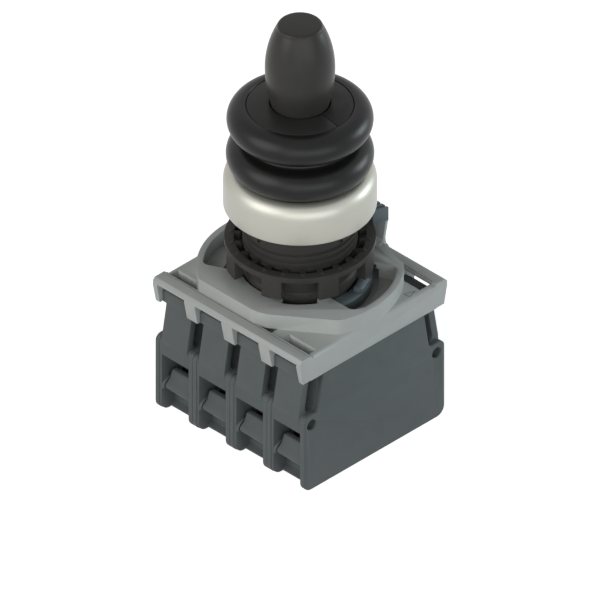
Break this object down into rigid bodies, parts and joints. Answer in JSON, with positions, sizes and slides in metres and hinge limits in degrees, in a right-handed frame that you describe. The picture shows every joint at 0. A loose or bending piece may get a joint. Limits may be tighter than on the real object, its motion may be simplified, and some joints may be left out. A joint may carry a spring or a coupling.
{
  "type": "industrial joystick",
  "caption": "Panel-mounted switching joystick: knob on a rubber bellows in a round metal bezel, threaded barrel, crown nut, adapter plate and a row of contact blocks.",
  "frame": {"origin": "centre of the panel cut-out, in the plane of the panel's front face on which the gasket sits", "axes": "+Z along the operator's axis towards the knob, +X along the row of contact blocks"},
  "size_m": [0.04, 0.0396, 0.09],
  "materials": {
    "black_plastic": "satin moulded, fine grain",
    "black_rubber": "matt rubber",
    "satin_metal": "satin, fine brushed",
    "light_grey_plastic": "satin moulded",
    "slate_plastic": "satin moulded",
    "dark_grey_plastic": "matt moulded",
    "natural_plastic": "natural moulded",
    "steel": "zinc plated",
    "brass": "plain with silver contact faces"
  },
  "bodies": {
    "root": {"bezel": "satin_metal", "gate_plate": "natural_plastic", "operator_body": "black_plastic", "panel_gasket": "black_rubber", "ring_nut": "black_plastic", "gimbal_pins": "steel", "centring_spring": "steel", "pin_guide": "natural_plastic", "mounting_adapter": "light_grey_plastic", "terminal_clamps": "steel", "terminal_screws": "steel", "block_1_housing": "dark_grey_plastic", "block_1_cover": "dark_grey_plastic", "block_1_spring": "steel", "block_1_contacts": "brass", "block_2_housing": "dark_grey_plastic", "block_2_cover": "dark_grey_plastic", "block_2_spring": "steel", "block_2_contacts": "brass", "block_3_housing": "dark_grey_plastic", "block_3_cover": "dark_grey_plastic", "block_3_spring": "steel", "block_3_contacts": "brass", "block_4_housing": "dark_grey_plastic", "block_4_cover": "dark_grey_plastic", "block_4_spring": "steel", "block_4_contacts": "brass"},
    "gimbal": {"gimbal_ring": "steel", "lever_pin": "steel"},
    "lever": {"knob": "black_plastic", "lever_shaft": "steel", "boot_retaining_ring": "black_plastic", "bellows_boot": "black_rubber", "rocker": "natural_plastic", "rocker_clip": "steel"},
    "locking_lever": {"locking_lever": "slate_plastic"},
    "pusher_east": {"push_pin_east": "natural_plastic", "slider_east": "natural_plastic"},
    "pusher_north": {"push_pin_north": "natural_plastic", "slider_north": "natural_plastic"},
    "pusher_west": {"push_pin_west": "natural_plastic", "slider_west": "natural_plastic"},
    "pusher_south": {"push_pin_south": "natural_plastic", "slider_south": "natural_plastic"},
    "plunger_1": {"block_1_plunger": "natural_plastic", "block_1_bridge": "brass"},
    "plunger_2": {"block_2_plunger": "natural_plastic", "block_2_bridge": "brass"},
    "plunger_3": {"block_3_plunger": "natural_plastic", "block_3_bridge": "brass"},
    "plunger_4": {"block_4_plunger": "natural_plastic", "block_4_bridge": "brass"}
  },
  "joints": [
    {"name": "tilt_east_west", "type": "hinge", "parent": "root", "child": "gimbal", "pos_m": [0, 0, 0.0022], "axis": [0, 1, 0], "range_deg": [-15, 15], "stiffness_Nm_per_rad": 0.4, "deforming": ["centring_spring"]},
    {"name": "tilt_north_south", "type": "hinge", "parent": "gimbal", "child": "lever", "pos_m": [0, 0, 0.0022], "axis": [1, 0, 0], "range_deg": [-15, 15], "stiffness_Nm_per_rad": 0.4, "deforming": ["bellows_boot"]},
    {"name": "lock_turn", "type": "hinge", "parent": "root", "child": "locking_lever", "pos_m": [0, 0, -0.0175], "axis": [0, 0, 1], "range_deg": [0, 24]},
    {"name": "push_east", "type": "slide", "parent": "root", "child": "pusher_east", "axis": [0, 0, 1], "range_m": [-0.00124, 0.00124]},
    {"name": "push_north", "type": "slide", "parent": "root", "child": "pusher_north", "axis": [0, 0, 1], "range_m": [-0.00124, 0.00124]},
    {"name": "push_west", "type": "slide", "parent": "root", "child": "pusher_west", "axis": [0, 0, 1], "range_m": [-0.00124, 0.00124]},
    {"name": "push_south", "type": "slide", "parent": "root", "child": "pusher_south", "axis": [0, 0, 1], "range_m": [-0.00124, 0.00124]},
    {"name": "contact_1", "type": "slide", "parent": "root", "child": "plunger_1", "axis": [0, 0, 1], "range_m": [-0.00124, 0.00124], "deforming": ["block_1_spring"]},
    {"name": "contact_2", "type": "slide", "parent": "root", "child": "plunger_2", "axis": [0, 0, 1], "range_m": [-0.00124, 0.00124], "deforming": ["block_2_spring"]},
    {"name": "contact_3", "type": "slide", "parent": "root", "child": "plunger_3", "axis": [0, 0, 1], "range_m": [-0.00124, 0.00124], "deforming": ["block_3_spring"]},
    {"name": "contact_4", "type": "slide", "parent": "root", "child": "plunger_4", "axis": [0, 0, 1], "range_m": [-0.00124, 0.00124], "deforming": ["block_4_spring"]}
  ],
  "couplings": [
    {"joint": "push_east", "follows": "tilt_east_west", "m_per_rad": -0.0047},
    {"joint": "push_north", "follows": "tilt_north_south", "m_per_rad": 0.0047},
    {"joint": "push_west", "follows": "tilt_east_west", "m_per_rad": 0.0047},
    {"joint": "push_south", "follows": "tilt_north_south", "m_per_rad": -0.0047},
    {"joint": "contact_1", "follows": "tilt_north_south", "m_per_rad": 0.0047},
    {"joint": "contact_2", "follows": "tilt_east_west", "m_per_rad": 0.0047},
    {"joint": "contact_3", "follows": "tilt_east_west", "m_per_rad": -0.0047},
    {"joint": "contact_4", "follows": "tilt_north_south", "m_per_rad": -0.0047}
  ]
}
